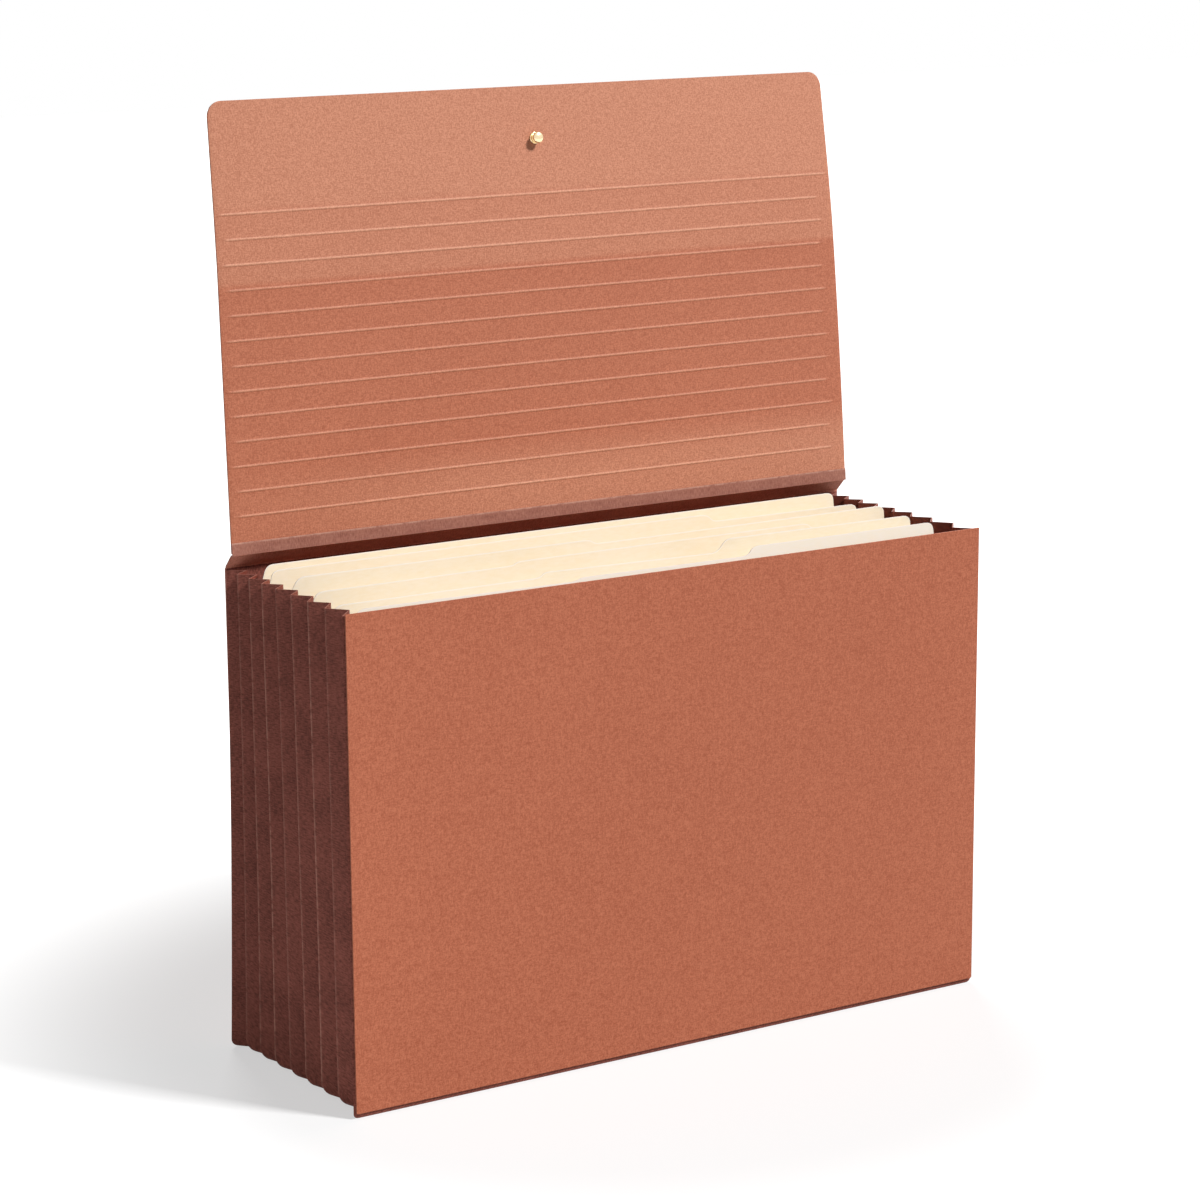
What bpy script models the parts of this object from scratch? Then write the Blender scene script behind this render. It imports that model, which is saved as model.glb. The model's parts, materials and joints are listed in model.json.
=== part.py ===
"""Expanding file wallet: two boards, a pleated cloth gusset, a hinged and scored flap, and three folders.

Metres, +Z up, the front faces -Y. The origin is on the ground, midway across the width and the depth.
"""

import math

import bmesh
import bpy
from mathutils import Vector

# Boards
PANEL_WIDTH = 0.381
PANEL_HEIGHT = 0.254
BOARD_THICKNESS = 0.0009
PANEL_CORNER_RADIUS = 0.004
OPEN_DEPTH = 0.130

# Pleated gusset
PLEAT_COUNT = 8
PLEAT_DEPTH = 0.0085
CLOTH_THICKNESS = 0.0005
RIDGE_INSET = 0.0008
RIDGE_CORNER_RADIUS = 0.005
VALLEY_CORNER_RADIUS = 0.001
FLANGE_WIDTH = 0.008
GUSSET_TOP_DROP = 0.0005

# Hinge cloth above the back board
HINGE_LENGTH = 0.011
HINGE_LEAN = math.radians(45)
HINGE_RISE = 0.0004
HINGE_END_TRIM = 0.0003
LINING_HEIGHT = 0.030
LINING_TOP_DROP = 0.0005
TAPE_WIDTH = 0.0042
TAPE_START = 0.0013

# Flap
FLAP_LENGTH = 0.226
FLAP_LEAN = math.radians(4.5)
FLAP_CORNER_RADIUS = 0.008
FIRST_SCORE = 0.0189
SCORE_PITCH = 0.0126
CREASE_TRIM = 0.0005
SCORE_GAP = 0.0003

# Brass closure post and its cap
POST_FROM_TOP = 0.027
POST_LENGTH = 0.0062
POST_HEAD_RADIUS = 0.0024
POST_HEAD_RIM = 0.0006
POST_HEAD_DOME = 0.0008
POST_NECK_RADIUS = 0.0016
POST_FLANGE_RADIUS = 0.0034
POST_FLANGE_HEIGHT = 0.0007
SHANK_RADIUS = 0.0014
SHANK_PROUD = 0.0006
CAP_RADIUS = 0.0036
CAP_RIM = 0.0011
CAP_CROWN = 0.0004

# Folders
SHEET_THICKNESS = 0.00035
FOLDER_SIDE_CLEARANCE = 0.0008
FOLDER_CORNER_RADIUS = 0.006
TAB_CORNER_RADIUS = 0.006
TAB_SLANT = 0.004
LEAF_DROP = 0.008
FRONT_LEAF_DROP = 0.0045
TAB_END_INSET = 0.010

# Clearances and smoothness
GLUE_GAP = 0.0003
POST_CLEARANCE = 0.003
ARC_STEPS = 5
TURN_STEPS = 28

# Places that follow from the sizes
HALF_WIDTH = PANEL_WIDTH / 2
HINGE_FORWARD = HINGE_LENGTH * math.sin(HINGE_LEAN)
REAR_REACH = FLAP_LENGTH * math.sin(FLAP_LEAN) - HINGE_FORWARD
BACK_Y = (OPEN_DEPTH - BOARD_THICKNESS / 2 - max(REAR_REACH, BOARD_THICKNESS / 2)) / 2
FRONT_Y = BACK_Y - OPEN_DEPTH + BOARD_THICKNESS
FLANGE_OFFSET = BOARD_THICKNESS / 2 + GLUE_GAP + CLOTH_THICKNESS / 2
FIRST_RIDGE_Y = BACK_Y - FLANGE_OFFSET
LAST_RIDGE_Y = FRONT_Y + FLANGE_OFFSET
PLEAT_PITCH = (FIRST_RIDGE_Y - LAST_RIDGE_Y) / PLEAT_COUNT
PLEAT_ANGLE = math.atan2(PLEAT_PITCH / 2, PLEAT_DEPTH)
VALLEY_TIP = RIDGE_INSET + PLEAT_DEPTH + CLOTH_THICKNESS / 2 / math.sin(PLEAT_ANGLE)
HINGE_FOOT = Vector((0, BACK_Y, PANEL_HEIGHT + HINGE_RISE))
POST_REACH = BOARD_THICKNESS + GLUE_GAP + POST_LENGTH
ROOF_REACH = OPEN_DEPTH - HINGE_FORWARD + POST_REACH + POST_CLEARANCE
SCORE_IN_USE = math.ceil((ROOF_REACH - FIRST_SCORE) / SCORE_PITCH)
SCORE_DISTANCE = FIRST_SCORE + SCORE_IN_USE * SCORE_PITCH
POST_DISTANCE = FLAP_LENGTH - POST_FROM_TOP - SCORE_DISTANCE
FOLDER_SEAT_Z = VALLEY_TIP + GLUE_GAP
FOLDER_HALF_WIDTH = HALF_WIDTH - VALLEY_TIP - FOLDER_SIDE_CLEARANCE
LEAF_SPACING = SHEET_THICKNESS + GLUE_GAP

# Each folder: name, the valley it stands on (counted from the back), how far its front leaf leans forward,
# how far its tab rises above the boards, and where the tab starts, as a share of the folder's width
FOLDERS = (
    ("rear", 2, math.radians(1.6), 0.0025, 0.0),
    ("middle", 4, math.radians(3.4), 0.0005, 0.0),
    ("front", 6, math.radians(3.4), -0.0015, 0.55),
)

COLLECTION = "expanding_file_wallet"


def clear_scene():
    for item in list(bpy.data.objects):
        bpy.data.objects.remove(item, do_unlink=True)


def make_material(name, colour, roughness, metallic=0.0):
    material = bpy.data.materials.new(name)
    material.use_nodes = True
    shader = material.node_tree.nodes["Principled BSDF"]
    shader.inputs["Base Color"].default_value = (*colour, 1)
    shader.inputs["Roughness"].default_value = roughness
    shader.inputs["Metallic"].default_value = metallic
    return material


def place(piece, parent, location, rotation, collection):
    collection.objects.link(piece)
    piece.parent = parent
    piece.location = location
    piece.rotation_euler = rotation
    return piece


def add_axis(name, location, lean, collection, parent=None):
    """An empty on a fold or a slide, leaning forward by an angle about X."""
    axis = bpy.data.objects.new(name, None)
    axis.empty_display_size = 0.02
    return place(axis, parent, location, (lean, 0, 0), collection)


def rounded_loop(corners):
    """Points round a polygon of (across, up, radius) corners, with an arc at each radius."""
    points = []
    for i, (across, up, radius) in enumerate(corners):
        here = Vector((across, up))
        if radius == 0:
            points.append(here)
            continue
        to_last = (Vector(corners[i - 1][:2]) - here).normalized()
        to_next = (Vector(corners[(i + 1) % len(corners)][:2]) - here).normalized()
        half = to_last.angle(to_next) / 2
        centre = here + (to_last + to_next).normalized() * (radius / math.sin(half))
        first = (here + to_last * (radius / math.tan(half)) - centre).normalized()
        last = (here + to_next * (radius / math.tan(half)) - centre).normalized()
        for step in range(ARC_STEPS + 1):
            points.append(centre + radius * first.slerp(last, step / ARC_STEPS))
    return points


def circle_loop(across, up, radius):
    turns = [math.tau * step / TURN_STEPS for step in range(TURN_STEPS)]
    return [(across + radius * math.cos(a), up + radius * math.sin(a)) for a in turns]


def add_sheet(name, loops, thickness, material, collection, parent, location):
    """A flat piece standing in its parent's XZ plane, cut to one outline with any holes inside it."""
    curve = bpy.data.curves.new(name, "CURVE")
    curve.dimensions = "2D"
    curve.fill_mode = "BOTH"
    curve.extrude = thickness / 2
    for loop in loops:
        spline = curve.splines.new("POLY")
        spline.points.add(len(loop) - 1)
        spline.use_cyclic_u = True
        for point, (across, up) in zip(spline.points, loop):
            point.co = (across, up, 0, 1)
    curve.materials.append(material)
    sheet = bpy.data.objects.new(name, curve)
    return place(sheet, parent, location, (math.pi / 2, 0, 0), collection)


def strip_loop(half_width, low, high, low_radius=0.0, high_radius=0.0):
    return rounded_loop(
        [
            (-half_width, low, low_radius),
            (half_width, low, low_radius),
            (half_width, high, high_radius),
            (-half_width, high, high_radius),
        ]
    )


def add_turned(name, profile, material, collection, parent, location):
    """A piece turned about the flap's normal, from a profile of (radius, height above the board's middle)."""
    mesh = bpy.data.meshes.new(name)
    points = [(radius, 0, height) for radius, height in profile]
    mesh.from_pydata(points, [(i, i + 1) for i in range(len(points) - 1)], [])
    mesh.materials.append(material)
    turned = bpy.data.objects.new(name, mesh)
    screw = turned.modifiers.new("Turn", "SCREW")
    screw.axis = "Z"
    screw.steps = TURN_STEPS
    screw.render_steps = TURN_STEPS
    screw.use_merge_vertices = True
    screw.merge_threshold = 0.00001
    return place(turned, parent, location, (math.pi / 2, 0, 0), collection)


def add_panel(name, material, collection, parent=None, location=(0, 0, 0)):
    loop = strip_loop(HALF_WIDTH, 0, PANEL_HEIGHT, low_radius=PANEL_CORNER_RADIUS)
    return add_sheet(name, [loop], BOARD_THICKNESS, material, collection, parent, location)


def fold_lines():
    """The gusset's fold lines from back to front: (y, inset from the board's edge, corner radius)."""
    flange = RIDGE_INSET + FLANGE_WIDTH
    lines = [(FIRST_RIDGE_Y, flange, VALLEY_CORNER_RADIUS)]
    for fold in range(2 * PLEAT_COUNT + 1):
        y = FIRST_RIDGE_Y - fold * PLEAT_PITCH / 2
        if fold % 2:
            lines.append((y, RIDGE_INSET + PLEAT_DEPTH, VALLEY_CORNER_RADIUS))
        else:
            lines.append((y, RIDGE_INSET, RIDGE_CORNER_RADIUS))
    lines.append((LAST_RIDGE_Y, flange, VALLEY_CORNER_RADIUS))
    return lines


def corner_point(side, line, turn, slip=0.0):
    """A point on a fold line where it rounds a lower corner, from turn 0 on the side to a right angle below.

    A slip moves the point square to the corner's bisector, to keep the runs on each side of it apart.
    """
    y, inset, radius = line
    across = HALF_WIDTH - inset - radius + radius * math.cos(turn) - slip * math.sqrt(0.5)
    up = inset + radius - radius * math.sin(turn) - slip * math.sqrt(0.5)
    return Vector((side * across, y, up))


def side_sections(side):
    """Sections of a side run of the gusset, from its top down to the middle of the corner."""
    lines = fold_lines()
    top = PANEL_HEIGHT - GUSSET_TOP_DROP
    sections = [[Vector((side * (HALF_WIDTH - inset), y, top)) for y, inset, _ in lines]]
    for step in range(ARC_STEPS):
        turn = math.pi / 4 * step / (ARC_STEPS - 1)
        slip = -GLUE_GAP if step == ARC_STEPS - 1 else 0
        sections.append([corner_point(side, line, turn, slip) for line in lines])
    return sections


def bottom_sections():
    """Sections of the bottom run of the gusset, from the middle of one corner to the middle of the other."""
    lines = fold_lines()
    halves = []
    for side in (-1, 1):
        half = []
        for step in range(ARC_STEPS):
            turn = math.pi / 4 * (1 + step / (ARC_STEPS - 1))
            slip = GLUE_GAP if step == 0 else 0
            half.append([corner_point(side, line, turn, slip) for line in lines])
        halves.append(half)
    return halves[0] + halves[1][::-1]


def add_pleated(name, sections, material, collection):
    """A pleated cloth run: a loft through its sections, given the cloth's thickness."""
    mesh = bpy.data.meshes.new(name)
    cloth = bmesh.new()
    rows = [[cloth.verts.new(point) for point in section] for section in sections]
    for row, next_row in zip(rows, rows[1:]):
        for i in range(len(row) - 1):
            cloth.faces.new((row[i], row[i + 1], next_row[i + 1], next_row[i]))
    bmesh.ops.recalc_face_normals(cloth, faces=cloth.faces)
    cloth.to_mesh(mesh)
    cloth.free()
    mesh.materials.append(material)
    run = bpy.data.objects.new(name, mesh)
    solidify = run.modifiers.new("Cloth", "SOLIDIFY")
    solidify.thickness = CLOTH_THICKNESS
    solidify.offset = 0
    solidify.use_even_offset = True
    return place(run, None, (0, 0, 0), (0, 0, 0), collection)


def add_hinge(cloth, collection):
    """The hinge cloth: glued inside the back board, free above it, and glued to the foot of the flap.

    The cloth and the flap fold on the line where their back faces meet, so the flap can go right back.
    """
    lining_half = HALF_WIDTH - RIDGE_INSET - FLANGE_WIDTH - 2 * GLUE_GAP
    lining_top = PANEL_HEIGHT - LINING_TOP_DROP
    lining = strip_loop(lining_half, lining_top - LINING_HEIGHT, lining_top)
    place_inside = (0, BACK_Y - FLANGE_OFFSET, 0)
    add_sheet("hinge_lining", [lining], CLOTH_THICKNESS, cloth, collection, None, place_inside)
    hinge_foot = add_axis("hinge_foot", HINGE_FOOT, HINGE_LEAN, collection)
    strip = strip_loop(HALF_WIDTH, HINGE_END_TRIM, HINGE_LENGTH - CREASE_TRIM)
    in_front = (0, -CLOTH_THICKNESS / 2, 0)
    add_sheet("hinge_strip", [strip], CLOTH_THICKNESS, cloth, collection, hinge_foot, in_front)
    crease = (0, 0, HINGE_LENGTH)
    flap_axis = add_axis("flap_axis", crease, -HINGE_LEAN - FLAP_LEAN, collection, hinge_foot)
    tape = strip_loop(HALF_WIDTH, TAPE_START, TAPE_START + TAPE_WIDTH)
    on_face = (0, -BOARD_THICKNESS / 2 - FLANGE_OFFSET, 0)
    add_sheet("hinge_tape", [tape], CLOTH_THICKNESS, cloth, collection, flap_axis, on_face)
    return flap_axis


def add_flap(board, brass, flap_axis, collection):
    """The flap in two pieces that meet at the score in use, with the brass post through the upper one.

    The score folds on the flap's inner face, so the two pieces open on the outer face as the end comes down.
    """
    lower = strip_loop(HALF_WIDTH, CREASE_TRIM, SCORE_DISTANCE - SCORE_GAP / 2)
    inner_face = BOARD_THICKNESS / 2
    add_sheet("flap_lower", [lower], BOARD_THICKNESS, board, collection, flap_axis, (0, -inner_face, 0))
    score = (0, -BOARD_THICKNESS, SCORE_DISTANCE)
    score_axis = add_axis("score_axis", score, 0, collection, flap_axis)
    top = FLAP_LENGTH - SCORE_DISTANCE
    upper = strip_loop(HALF_WIDTH, SCORE_GAP / 2, top, high_radius=FLAP_CORNER_RADIUS)
    hole = circle_loop(0, POST_DISTANCE, SHANK_RADIUS + GLUE_GAP)
    add_sheet("flap_upper", [upper, hole], BOARD_THICKNESS, board, collection, score_axis, (0, inner_face, 0))
    at_post = (0, inner_face, POST_DISTANCE)
    add_turned("closure_post", post_profile(), brass, collection, score_axis, at_post)
    add_turned("closure_cap", cap_profile(), brass, collection, score_axis, at_post)


def dome(radius, rim_height, rise):
    """Profile points of a shallow dome from its rim to its crown on the axis."""
    angles = [math.pi / 2 * step / ARC_STEPS for step in range(ARC_STEPS + 1)]
    points = [(radius * math.cos(a), rim_height + rise * math.sin(a)) for a in angles]
    points[-1] = (0, rim_height + rise)
    return points


def post_profile():
    """The post from the crown of its head, down its neck to the flange, and on down the shank."""
    seat = BOARD_THICKNESS / 2 + GLUE_GAP
    head_rim = seat + POST_LENGTH - POST_HEAD_DOME
    head_low = head_rim - POST_HEAD_RIM
    flange_top = seat + POST_FLANGE_HEIGHT
    return [
        *reversed(dome(POST_HEAD_RADIUS, head_rim, POST_HEAD_DOME)),
        (POST_HEAD_RADIUS, head_low),
        (POST_NECK_RADIUS, head_low - (POST_HEAD_RADIUS - POST_NECK_RADIUS)),
        (POST_NECK_RADIUS, flange_top + POST_FLANGE_HEIGHT),
        (POST_FLANGE_RADIUS, flange_top),
        (POST_FLANGE_RADIUS, seat),
        (SHANK_RADIUS, seat),
        (SHANK_RADIUS, -seat - SHANK_PROUD),
        (0, -seat - SHANK_PROUD),
    ]


def cap_profile():
    """The cap from the end of its blind bore, over its flat face and down its rim to the crown."""
    seat = -BOARD_THICKNESS / 2 - GLUE_GAP
    bore_radius = SHANK_RADIUS + GLUE_GAP
    bore_end = seat - SHANK_PROUD - GLUE_GAP
    return [
        (0, bore_end),
        (bore_radius, bore_end),
        (bore_radius, seat),
        (CAP_RADIUS, seat),
        *dome(CAP_RADIUS, seat - CAP_RIM, -CAP_CROWN),
    ]


def leaf_loop(leaf_top, tab_top=None, tab_start=0.0):
    """A folder leaf's outline above its fold, with a tab from a share of the width to the right end."""
    half = FOLDER_HALF_WIDTH
    right = (half, leaf_top, FOLDER_CORNER_RADIUS)
    left = (-half, leaf_top, FOLDER_CORNER_RADIUS)
    if tab_top is None:
        return rounded_loop([(-half, 0, 0), (half, 0, 0), right, left])
    tab_left = -half + TAB_END_INSET + tab_start * 2 * half
    tab_right = half - TAB_END_INSET
    tab = [
        (tab_right + TAB_SLANT, leaf_top, 0),
        (tab_right, tab_top, TAB_CORNER_RADIUS),
        (tab_left, tab_top, TAB_CORNER_RADIUS),
        (tab_left - TAB_SLANT, leaf_top, 0),
    ]
    square_right = (half, leaf_top, 0)
    square_left = (-half, leaf_top, 0)
    return rounded_loop([(-half, 0, 0), (half, 0, 0), square_right, *tab, square_left])


def add_folder(name, valley, lean, tab_rise, tab_start, manila, collection):
    """A folder standing on a bottom valley: an upright back leaf with a tab, and a leaning front leaf."""
    y = FIRST_RIDGE_Y - (valley - 0.5) * PLEAT_PITCH
    slide_axis = add_axis(f"{name}_folder_slide", (0, y, FOLDER_SEAT_Z), 0, collection)
    tab_top = PANEL_HEIGHT + tab_rise - FOLDER_SEAT_Z
    leaf_top = tab_top - LEAF_DROP
    back = leaf_loop(leaf_top, tab_top, tab_start)
    add_sheet(f"{name}_folder_back", [back], SHEET_THICKNESS, manila, collection, slide_axis, (0, 0, 0))
    fold = (0, -LEAF_SPACING, 0)
    leaf_axis = add_axis(f"{name}_folder_fold", fold, lean, collection, slide_axis)
    front = leaf_loop(tab_top - FRONT_LEAF_DROP)
    add_sheet(f"{name}_folder_front", [front], SHEET_THICKNESS, manila, collection, leaf_axis, (0, 0, 0))


def build():
    clear_scene()
    collection = bpy.data.collections.new(COLLECTION)
    bpy.context.scene.collection.children.link(collection)
    board = make_material("red_brown_pressboard", (0.50, 0.147, 0.079), 0.75)
    cloth = make_material("brown_gusset_cloth", (0.098, 0.031, 0.022), 0.7)
    manila = make_material("manila_card", (0.96, 0.80, 0.58), 0.65)
    brass = make_material("brass", (0.78, 0.55, 0.22), 0.25, 1.0)
    add_panel("back_panel", board, collection, location=(0, BACK_Y, 0))
    front_slide = add_axis("front_slide", (0, FRONT_Y, 0), 0, collection)
    add_panel("front_panel", board, collection, parent=front_slide)
    add_pleated("left_gusset", side_sections(-1), cloth, collection)
    add_pleated("right_gusset", side_sections(1), cloth, collection)
    add_pleated("bottom_gusset", bottom_sections(), cloth, collection)
    flap_axis = add_hinge(cloth, collection)
    add_flap(board, brass, flap_axis, collection)
    for folder in FOLDERS:
        add_folder(*folder, manila, collection)
    bpy.context.view_layer.update()


build()
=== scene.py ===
# %% [markdown]
# # An expanding file wallet
#
# This lesson dresses a legal-size expanding wallet: two pressboard covers, a pleated cloth gusset, a scored
# flap on a cloth hinge, a brass closure post and three manila folders. The packed model holds every piece
# at its real size and place, in metres. Here each gets the shape and the finish that the eye sees; the
# covers, the gusset, the brass and the folders also ride on the bodies that move them.

# %% Load the packed model
import json
import math

import bpy
from mathutils import Matrix, Vector


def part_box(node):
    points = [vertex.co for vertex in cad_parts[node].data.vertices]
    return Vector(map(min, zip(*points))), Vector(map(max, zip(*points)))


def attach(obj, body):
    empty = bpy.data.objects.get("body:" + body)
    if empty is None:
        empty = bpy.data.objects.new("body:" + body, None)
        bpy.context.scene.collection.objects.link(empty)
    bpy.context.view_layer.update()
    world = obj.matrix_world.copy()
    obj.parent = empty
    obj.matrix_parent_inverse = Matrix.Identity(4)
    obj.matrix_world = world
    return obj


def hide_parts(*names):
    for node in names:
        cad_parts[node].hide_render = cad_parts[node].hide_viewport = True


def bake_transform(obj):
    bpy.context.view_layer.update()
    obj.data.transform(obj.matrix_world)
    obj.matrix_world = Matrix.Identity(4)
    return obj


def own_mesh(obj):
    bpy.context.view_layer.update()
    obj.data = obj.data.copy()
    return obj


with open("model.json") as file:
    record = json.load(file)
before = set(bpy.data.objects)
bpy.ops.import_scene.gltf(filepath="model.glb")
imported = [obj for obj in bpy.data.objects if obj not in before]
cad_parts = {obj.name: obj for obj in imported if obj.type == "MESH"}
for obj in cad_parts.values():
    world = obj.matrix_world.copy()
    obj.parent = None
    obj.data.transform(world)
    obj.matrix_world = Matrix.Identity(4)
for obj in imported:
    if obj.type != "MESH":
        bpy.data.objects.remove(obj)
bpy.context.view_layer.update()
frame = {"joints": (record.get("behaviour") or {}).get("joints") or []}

# %% [markdown]
# ## Places that the pieces share
#
# Every piece of a wallet is cut to fit its boards, so all else is measured from them. Typed sizes would go
# stale when the model changes, so they are read from the packed boxes.

# %% Read the boards
back_low, back_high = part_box("back_panel")
front_low, front_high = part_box("front_panel")
half_width = back_high.x
board_height = back_high.z
board_thickness = back_high.y - back_low.y
back_y = (back_low.y + back_high.y) / 2
front_y = (front_low.y + front_high.y) / 2
print(f"boards {2 * half_width:.3f} by {board_height:.3f} m, {back_y - front_y:.3f} m apart")

# %% [markdown]
# The flap turns on a crease in the hinge cloth, and its end folds along one of its scores. The packed
# joints hold both lines, the crease on the board's outer face and the score on its inner one. The flap's
# lean follows from them, and gives the directions up the flap and out of its face.

# %% Read the folds and the travel
joints = {joint["name"]: joint for joint in frame["joints"]}
crease = Vector(joints["flap_fold"]["pos_m"])
score_fold = Vector(joints["score_fold"]["pos_m"])
travel = joints["expand"]["range_m"][1]

to_score = score_fold - crease
score_distance = math.sqrt(to_score.length_squared - board_thickness**2)
flap_lean = math.atan2(to_score.y, to_score.z) + math.atan2(board_thickness, score_distance)
flap_up = Vector((0, math.sin(flap_lean), math.cos(flap_lean)))
flap_out = Vector((0, -math.cos(flap_lean), math.sin(flap_lean)))
flap_length = (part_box("flap_upper")[1].z - crease.z) / math.cos(flap_lean)
print(f"flap {flap_length * 1000:.0f} mm long, leaning back {math.degrees(flap_lean):.1f} degrees")

# %% [markdown]
# ## Camera
#
# A long lens keeps the boards' edges nearly parallel. A camera could be aimed by eye, but this one's place,
# direction and lens were fitted to the corners of the front board, so that picture and object can be
# compared edge by edge.

# %% Place the camera
LENS = 103.3
CAMERA_PLACE = (-0.9348, -1.4852, 0.6111)
CAMERA_AZIMUTH = math.radians(-32.07)
CAMERA_ELEVATION = math.radians(12.402)
CAMERA_ROLL = math.radians(-0.374)

bpy.ops.object.select_all(action="DESELECT")
bpy.ops.object.camera_add(location=CAMERA_PLACE)
camera = bpy.context.object
turn = Matrix.Rotation(CAMERA_AZIMUTH, 4, "Z")
tilt = Matrix.Rotation(math.pi / 2 - CAMERA_ELEVATION, 4, "X")
roll = Matrix.Rotation(CAMERA_ROLL, 4, "Z")
camera.rotation_euler = (turn @ tilt @ roll).to_euler()
camera.data.lens = LENS
bpy.context.scene.camera = camera
bpy.context.scene.view_settings.view_transform = "Standard"
print("camera at", tuple(round(value, 3) for value in camera.location))

# %% [markdown]
# ## Shader maths in Python
#
# A finish is a tree of nodes, hard to follow as a list of nodes and links. A Wire holds one socket, so that
# a finish reads as a formula: sums and products of wires add Math nodes, and the node method adds any other
# kind. Colours and vectors go through Mix and Vector Math, because a Math node turns a colour grey.

# %% Wrap a socket so that formulas make nodes
class Wire:
    """One socket of a node tree."""

    def __init__(self, socket):
        self.socket = socket

    def node(self, kind, settings=None, sockets=None, output=0):
        """Adds a node: its settings first, then the values or the wires of its sockets."""
        tree = self.socket.id_data
        added = tree.nodes.new(kind)
        for name, value in (settings or {}).items():
            setattr(added, name, value)
        for key, value in (sockets or {}).items():
            if isinstance(value, Wire):
                tree.links.new(value.socket, added.inputs[key])
            else:
                added.inputs[key].default_value = value
        return Wire(added.outputs[output])

    def maths(self, operation, first, second=0.0):
        return self.node("ShaderNodeMath", {"operation": operation}, {0: first, 1: second})

    def __add__(self, other):
        return self.maths("ADD", self, other)

    __radd__ = __add__

    def __sub__(self, other):
        return self.maths("SUBTRACT", self, other)

    def __rsub__(self, other):
        return self.maths("SUBTRACT", other, self)

    def __mul__(self, other):
        return self.maths("MULTIPLY", self, other)

    __rmul__ = __mul__

    def sine(self):
        return self.maths("SINE", self)

    def axis(self, index):
        """One of a vector's three numbers."""
        return self.node("ShaderNodeSeparateXYZ", sockets={0: self}, output=index)

    def stretched(self, scale):
        """A vector with each axis multiplied, which stretches a pattern."""
        return self.node("ShaderNodeVectorMath", {"operation": "MULTIPLY"}, {0: self, 1: scale})

    def noise(self, scale, detail=3.0, roughness=0.55):
        sockets = {"Vector": self, "Scale": scale, "Detail": detail, "Roughness": roughness}
        return self.node("ShaderNodeTexNoise", sockets=sockets)

    def between(self, low, high):
        """Rises smoothly from 0 to 1 as the value goes from low to high."""
        sockets = {"Value": self, "From Min": low, "From Max": high}
        return self.node("ShaderNodeMapRange", {"interpolation_type": "SMOOTHSTEP"}, sockets)

    def mix(self, at_zero, at_one):
        """A colour between two, with this value as the share of the second."""
        return self.node("ShaderNodeMix", {"data_type": "RGBA"}, {0: self, 6: at_zero, 7: at_one}, output=2)

    def bump(self, strength, distance):
        sockets = {"Height": self, "Strength": strength, "Distance": distance}
        return self.node("ShaderNodeBump", sockets=sockets)


print("wires carry", [name for name in vars(Wire) if not name.startswith("_")])

# %% [markdown]
# ## A finish in two calls
#
# Every finish is a material with one Principled shader. What is the same all over is set on the shader's
# own socket, and only what changes over the surface is fed by a wire. Colours are written as a screen shows
# them and turned into linear light.

# %% Start a finish and feed it
def colour(red, green, blue):
    """A linear colour from a screen's values of 0 to 255."""
    shares = [value / 255 for value in (red, green, blue)]
    linear = [((s + 0.055) / 1.055) ** 2.4 if s > 0.04045 else s / 12.92 for s in shares]
    return (*linear, 1.0)


def new_finish(name, **constants):
    """A material, its shader with the constants set, and a wire to start nodes from."""
    material = bpy.data.materials.new(name)
    material.use_nodes = True
    shader = material.node_tree.nodes["Principled BSDF"]
    for socket, value in constants.items():
        shader.inputs[socket.replace("_", " ")].default_value = value
    return material, shader, Wire(shader.outputs[0])


def feed(shader, **wires):
    """Links wires to the shader's sockets."""
    for socket, wire in wires.items():
        target = shader.inputs[socket.replace("_", " ")]
        shader.id_data.links.new(wire.socket, target)


print("a screen's mid grey is", round(colour(128, 128, 128)[0], 3), "in linear light")

# %% [markdown]
# ## Floor
#
# The wallet stands on white paper. A truly white floor would light the shaded gusset from below until it
# turned pale. So this one is a mid grey that glows, for the camera and for reflections only, and more so
# further from the wallet. It reads as white, and it keeps the shadow.

# %% Lay the floor
FLOOR_SIZE = 12.0
FLOOR_COLOUR = (0.42, 0.42, 0.42, 1)
FLOOR_GLOW = 0.55
GLOW_NEAR = 0.22
GLOW_FAR = 0.42
BLACK = (0, 0, 0, 1)
WHITE = (1, 1, 1, 1)


def camera_sees(start):
    """1 where the camera, a reflection or a clear surface looks, and 0 where light is gathered."""
    rays = ("Is Camera Ray", "Is Glossy Ray", "Is Transmission Ray")
    seen, *others = [start.node("ShaderNodeLightPath", output=ray) for ray in rays]
    for other in others:
        seen = seen.maths("MAXIMUM", seen, other)
    return seen


bpy.ops.object.select_all(action="DESELECT")
bpy.ops.mesh.primitive_plane_add(size=FLOOR_SIZE, location=(0, 0, 0))
floor = bpy.context.object
floor.name = "floor"
floor_finish, floor_shader, floor_start = new_finish(
    "white_paper", Base_Color=FLOOR_COLOUR, Roughness=0.9, Specular_IOR_Level=0.0, Emission_Strength=1.0
)
floor_place = floor_start.node("ShaderNodeTexCoord", output="Object")
from_wallet = floor_place.node("ShaderNodeVectorMath", {"operation": "LENGTH"}, {0: floor_place}, output=1)
glow = FLOOR_GLOW + (1 - FLOOR_GLOW) * from_wallet.between(GLOW_NEAR, GLOW_FAR)
feed(floor_shader, Emission_Color=(glow * camera_sees(floor_start)).mix(BLACK, WHITE))
floor.data.materials.append(floor_finish)
print("floor", FLOOR_SIZE, "m wide")

# %% [markdown]
# ## Sky
#
# In a studio the paper runs on up behind the object. A second plane could stand there, but it would hide
# other views, so the world stands for it: white to the camera and in reflections, and faint as a light, so
# that the lamps draw the shadows.

# %% Hang a white sky
SKY_STRENGTH = 0.12

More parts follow.
